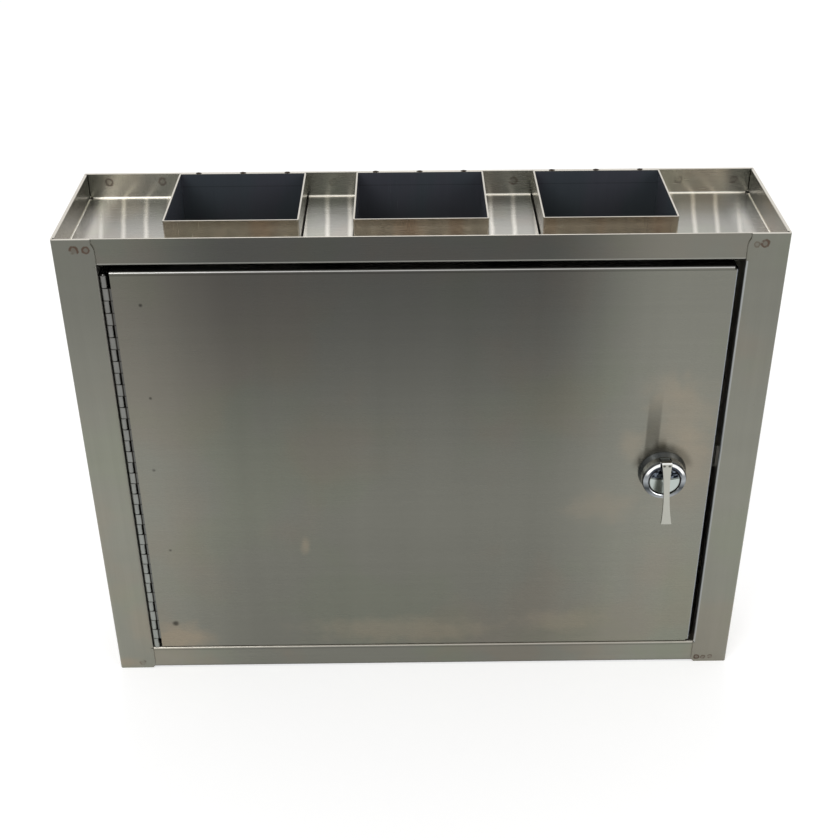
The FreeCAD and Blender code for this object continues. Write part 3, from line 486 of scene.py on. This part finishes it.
def door_sheet():
    """Door skin: a painted reflection, dark high up in the middle, with heat tints round the latch
    and small spots.
    """
    skin = Skin("door_sheet", STEEL)
    high = DOOR_HIGH
    skin.mirror_room(skin.ahead, left=0.41, right=0.48)
    skin.mottle(strength=0.5, scale=7)
    for x, z, weights, radius, strength in DOOR_TINTS:
        skin.patch(front(x, z), weights, radius * MM, TAN, strength)
    # The latch's own dark reflection, painted: a streak above the knob and a halo round it
    above_knob = skin.band(skin.z, 296 * MM, 352 * MM, 1.0, 0.0)
    core = skin.within(skin.x, 219.0 * MM, 229.5 * MM, 2.4 * MM)
    seen_above = skin.band(skin.z, LATCH_Z, LATCH_Z + 12 * MM)
    skin.paint(skin.times(core, above_knob, seen_above, skin.ahead, 0.75), (88, 86, 78))
    around = skin.distance(skin.where, (LATCH_X, FRONT_Y, LATCH_Z + 3 * MM), (1, 0.1, 1))
    halo = skin.times(skin.band(around, 25 * MM, 33 * MM, 0.6, 0.0), seen_above)
    skin.paint(halo, (86, 82, 72))
    for x, z, radius, strength in DOOR_SPOTS:
        skin.patch(front(x, z), (0.9, 1, 0.9), radius * MM, SOOT_AND_SHADE, strength)
    # Folds: painted shade under the upper one and on its flange, painted highlights where it turns
    # up or sideways
    under_fold = skin.within(skin.z, high.z - 3.8 * MM, high.z - 3.0 * MM, 0.5 * MM)
    skin.paint(skin.times(under_fold, skin.ahead, 0.4), SOOT_AND_SHADE)
    behind_fold = skin.band(skin.y, FRONT_Y + 2.6 * MM, FRONT_Y + 3.2 * MM)
    skin.paint(skin.times(skin.above, behind_fold), DARK)
    at_top = skin.band(skin.z, high.z - 2.2 * MM, high.z - 1.6 * MM)
    skin.paint(skin.times(at_top, skin.above), DARK)
    skin.paint(skin.times(at_top, skin.within(skin.up, 0.40, 0.62, 0.1)), (176, 175, 172))
    side_fold = skin.times(skin.band(skin.x, high.x - 2.0 * MM, high.x - 1.0 * MM),
                           skin.band(skin.right, 0.2, 0.7),
                           skin.band(skin.y, FRONT_Y + 1.6 * MM, FRONT_Y + 2.6 * MM, 1.0, 0.0))
    skin.paint(side_fold, (168, 176, 186))
    skin.brush("x", strength=0.07)
    skin.smear("z", strength=0.05)
    return skin.finish(roughness=0.27, across="z", anisotropy=0.7)


def hinge_steel():
    """Rolled hinge strip: greyer than the sheet, with painted shade on the barrel's sides and
    beside it, and a dark line at each knuckle's end.
    """
    skin = Skin("hinge_steel", STEEL)
    to_top = skin.band(skin.z, HINGE_LOW.z, HINGE_HIGH.z)
    skin.paint(0.9, skin.between(to_top, (140, 144, 140), (104, 104, 102)))
    # Painted shade: the barrel's sides darken as they turn away, and the gap beside it is dark
    off_pin = skin.math("SUBTRACT", skin.x, (HINGE_LOW.x + HINGE_HIGH.x) / 2)
    turning_away = skin.band(skin.absolute(off_pin), 2.4 * MM, 3.5 * MM, 0.0, 0.55)
    beside = skin.within(off_pin, 3.5 * MM, 4.6 * MM, 0.4 * MM)
    skin.paint(skin.either(turning_away, beside), SOOT_AND_SHADE)
    # Joints lie at whole pitches from the pin's foot, where the fraction is farthest from a half.
    # Two more turns keep it positive.
    turns = skin.math("MULTIPLY_ADD", skin.z, 1 / KNUCKLE_PITCH, 2 - HINGE_LOW.z / KNUCKLE_PITCH)
    to_joint = skin.absolute(skin.math("SUBTRACT", skin.math("FRACT", turns), 0.5))
    skin.paint(skin.band(to_joint, 0.440, 0.475, 0.0, 0.8), SOOT_AND_SHADE)
    worn = skin.noise(skin.where, 260, (1, 1, 0.4), detail=3.0)
    skin.light(skin.math("MULTIPLY_ADD", worn, 0.36, 0.82))
    skin.brush("z", strength=0.12)
    return skin.finish(roughness=0.34)


def metal(name, colour, roughness, scale=60, wear=0.16):
    """Plain or plated metal with faint cloudy wear."""
    skin = Skin(name, colour)
    cloudy = skin.noise(skin.where, scale, detail=4.0)
    skin.light(skin.math("MULTIPLY_ADD", cloudy, wear, 1 - wear / 2))
    skin.brush("z", strength=0.04)
    return skin.finish(roughness, spread=0.06, bump=0.03)


def horizon(skin, stops):
    """What polished metal mirrors, painted as a reflection from floor to ceiling, by the height
    that it looks to.
    """
    share = skin.add("ShaderNodeMapRange", {0: skin.up, 1: -1.0, 2: 1.0}).outputs[0]
    node = skin.add("ShaderNodeValToRGB", {0: share})
    elements = node.color_ramp.elements
    while len(elements) < len(stops):
        elements.new(0.5)
    for element, (position, grey) in zip(elements, stops):
        element.position = position
        element.color = (*srgb(grey - 4, grey, grey + 3), 1)
    return node.outputs[0]


def latch_chrome():
    """Polished knob on a duller rose, both with painted reflections, and painted rings of
    reflection, highlight and shade on the knob's front.
    """
    skin = Skin("latch_chrome", STEEL)
    skin.paint(1.0, horizon(skin, KNOB_HORIZON))
    is_rose = skin.band(skin.y, FRONT_Y - 7.15 * MM, FRONT_Y - 7.05 * MM)
    skin.paint(is_rose, horizon(skin, ROSE_HORIZON))
    off_axis = skin.distance(skin.where, (LATCH_X, 0, LATCH_Z), (1, 0, 1))
    upper = skin.band(skin.z, LATCH_Z + 5 * MM, LATCH_Z + 11 * MM)
    on_knob = skin.band(skin.y, FRONT_Y - 15 * MM, FRONT_Y - 14 * MM, 1.0, 0.0)
    # Painted rings on the knob's front: inner and outer radius in millimetres, where or how strong,
    # colour
    for inner, outer, mask, colour in (
            (16.2, 17.6, upper, (56, 62, 72)), (18.4, 20.4, upper, (254, 254, 252)),
            (21.0, 21.8, 0.8, SOOT_AND_SHADE), (15.2, 15.9, 1.0, SOOT_AND_SHADE)):
        ring = skin.within(off_axis, inner * MM, outer * MM, 0.3 * MM)
        skin.paint(skin.times(ring, on_knob, mask), colour)
    skin.brush("z", strength=0.03)
    return skin.finish(roughness=0.12, spread=0.04, bump=0.02)


def cap_chrome():
    """Dished cap, painted reflection: its upper part mirrors the dark room in waves, its lower part
    the pale floor; painted shade round its edge.
    """
    skin = Skin("cap_chrome", (176, 184, 180))
    radius = (CAP_HIGH.x - CAP_LOW.x) / 2
    off_x = skin.math("SUBTRACT", skin.x, LATCH_X)
    off_z = skin.math("SUBTRACT", skin.z, LATCH_Z)
    height = skin.math("SUBTRACT", off_z, skin.times(off_x, off_x, 12.0))
    ripple = skin.noise(skin.where, 480, (0.6, 1, 1), detail=1.0)
    mirrored = skin.between(skin.band(ripple, 0.46, 0.58), (14, 18, 23), (104, 112, 122))
    skin.paint(skin.band(height, 1.6 * MM, 2.4 * MM), mirrored)
    # Painted reflection: a dark line where the mirrored room meets the floor
    skin.paint(skin.times(skin.within(height, 0.8 * MM, 1.5 * MM, 0.3 * MM), 0.8), SOOT_AND_SHADE)
    # Painted shade in the groove round the cap's edge
    edge = skin.distance(skin.where, (LATCH_X, 0, LATCH_Z), (1, 0, 1))
    skin.paint(skin.band(edge, radius - 1.4 * MM, radius - 0.5 * MM, 0.0, 0.9), SOOT_AND_SHADE)
    skin.brush("z", strength=0.03)
    return skin.finish(roughness=0.14, spread=0.04, bump=0.02)


def lever_steel():
    """Satin lever: pale, with a painted highlight on its top edge, painted shade on its sides and
    back, and two dark dots at its neck.
    """
    skin = Skin("lever_steel", (174, 174, 165))
    top = LEVER_TOP
    # Painted highlight on the top edge
    skin.paint(skin.band(skin.z, top - 1.4 * MM, top - 0.4 * MM), (252, 252, 250))
    for step in (-1, 1):
        place = (LATCH_X + step * 2.6 * MM, 0, top - 2.8 * MM)
        dot = skin.distance(skin.where, place, (0.8, 0, 1.2))
        skin.paint(skin.band(dot, 0.6 * MM, 1.6 * MM, 0.85, 0.0), SOOT_AND_SHADE)
    # Painted shade on the side and back faces
    skin.paint(skin.band(skin.back, -0.2, 0.2), (120, 120, 112))
    skin.brush("z", strength=0.08)
    return skin.finish(roughness=0.34, spread=0.06)


def make_materials():
    """One material for each slot of the record."""
    return {
        "side_sheet": side_sheet(), "back_sheet": back_sheet(), "pan_sheet": pan_sheet(),
        "tray_sheet": tray_sheet(), "chute_sheet": chute_sheet(), "door_sheet": door_sheet(),
        "hinge_steel": hinge_steel(), "latch_chrome": latch_chrome(), "cap_chrome": cap_chrome(),
        "lever_steel": lever_steel(),
        "weld_metal": metal("weld_metal", (60, 52, 44), 0.5, scale=300, wear=0.5),
        "pin_steel": metal("pin_steel", (180, 180, 178), 0.22),
        "keeper_steel": metal("keeper_steel", (208, 208, 202), 0.32),
        "fixing_steel": metal("fixing_steel", (178, 178, 174), 0.28),
    }


def background_rays(graph):
    """1 for what sees the plain background: the camera, and gloss or glass that reflects it."""
    paths = graph.add("ShaderNodeLightPath").outputs
    seen = graph.either(paths["Is Camera Ray"], paths["Is Glossy Ray"])
    return graph.either(seen, paths["Is Transmission Ray"])


def add_world():
    """White surroundings that light the object only softly."""
    world = bpy.data.worlds.new("studio_world")
    bpy.context.scene.world = world
    graph = Graph(world)
    ambient = graph.add("ShaderNodeBackground", {"Color": WHITE, "Strength": AMBIENT_STRENGTH})
    plain = graph.add("ShaderNodeBackground", {"Color": WHITE, "Strength": 1.0})
    mixed = graph.add("ShaderNodeMixShader", {0: background_rays(graph), 1: ambient.outputs[0],
                                              2: plain.outputs[0]})
    graph.add("ShaderNodeOutputWorld", {"Surface": mixed.outputs[0]})


def add_floor():
    """A pale floor that keeps the shadow."""
    half = FLOOR_HALF
    mesh = bpy.data.meshes.new("floor")
    mesh.from_pydata([(-half, -half, 0), (half, -half, 0), (half, half, 0), (-half, half, 0)], [],
                     [(0, 1, 2, 3)])
    floor = bpy.data.objects.new("floor", mesh)
    floor.location.z = -FLOOR_DROP
    bpy.context.scene.collection.objects.link(floor)
    material = bpy.data.materials.new("pale_floor")
    graph = Graph(material)
    paper = graph.add("ShaderNodeBsdfDiffuse", {"Color": (FLOOR_GREY, FLOOR_GREY, FLOOR_GREY, 1)})
    strength = graph.math("MULTIPLY", background_rays(graph), FLOOR_GLOW)
    glow = graph.add("ShaderNodeEmission", {"Color": WHITE, "Strength": strength})
    surface = graph.add("ShaderNodeAddShader", {0: paper.outputs[0], 1: glow.outputs[0]})
    graph.add("ShaderNodeOutputMaterial", {"Surface": surface.outputs[0]})
    mesh.materials.append(material)


def add_lamps():
    """Three soft lamps, turned to the object."""
    for name, place, size, power in LAMPS:
        data = bpy.data.lights.new(name, "AREA")
        data.shape = "SQUARE"
        data.size = size
        data.energy = power
        lamp = bpy.data.objects.new(name, data)
        lamp.location = place
        towards = Vector(LAMP_TARGET) - Vector(place)
        lamp.rotation_euler = towards.to_track_quat("-Z", "Y").to_euler()
        bpy.context.scene.collection.objects.link(lamp)


def dress_nodes(materials):
    """Gives each CAD node the material of its slot."""
    slots = {entry["node"]: entry["material_slot"] for entry in frame["record"]["subparts"]}
    for name, node in frame["nodes"].items():
        if not node.material_slots:
            node.data.materials.append(materials[slots[name]])
        for holder in node.material_slots:
            holder.material = materials[slots[name]]


def weld_beads(material):
    """Lumpy tack welds in place of the plain ones, three behind each chute."""
    low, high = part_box("chute_tack_welds")
    middle = (high.y + low.y) / 2
    width, height = 1.35 * MM, high.z - low.z
    draw = random.Random(7)
    mesh = bmesh.new()
    for left, right in CHUTES:
        for step in (-1, 0, 1):
            x = (left.x + right.x) / 2 + step * BEAD_PITCH
            start = len(mesh.verts)
            bmesh.ops.create_icosphere(mesh, subdivisions=4, radius=1.0)
            mesh.verts.ensure_lookup_table()
            phase = Vector((draw.uniform(0, 9), draw.uniform(0, 9), draw.uniform(0, 9)))
            length = draw.uniform(2.6, 3.3) * MM
            for vert in mesh.verts[start:]:
                broad = noise.noise(vert.co * 1.7 + phase)
                fine = noise.noise(vert.co * 5 + phase)
                lump = 1 + 0.22 * broad + 0.08 * fine
                vert.co = Vector((x + vert.co.x * lump * length,
                                  middle + vert.co.y * lump * width,
                                  low.z + max(vert.co.z, -0.05) * lump * height * 0.65))
    data = bpy.data.meshes.new("tack_weld_beads")
    mesh.to_mesh(data)
    mesh.free()
    for face in data.polygons:
        face.use_smooth = True
    data.materials.append(material)
    beads = bpy.data.objects.new("tack_weld_beads", data)
    bpy.context.scene.collection.objects.link(beads)
    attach(beads, "cabinet")
    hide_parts("chute_tack_welds")


add_camera()
add_world()
add_floor()
add_lamps()
materials = make_materials()
dress_nodes(materials)
weld_beads(materials["weld_metal"])

bpy.context.scene.view_settings.view_transform = "Standard"
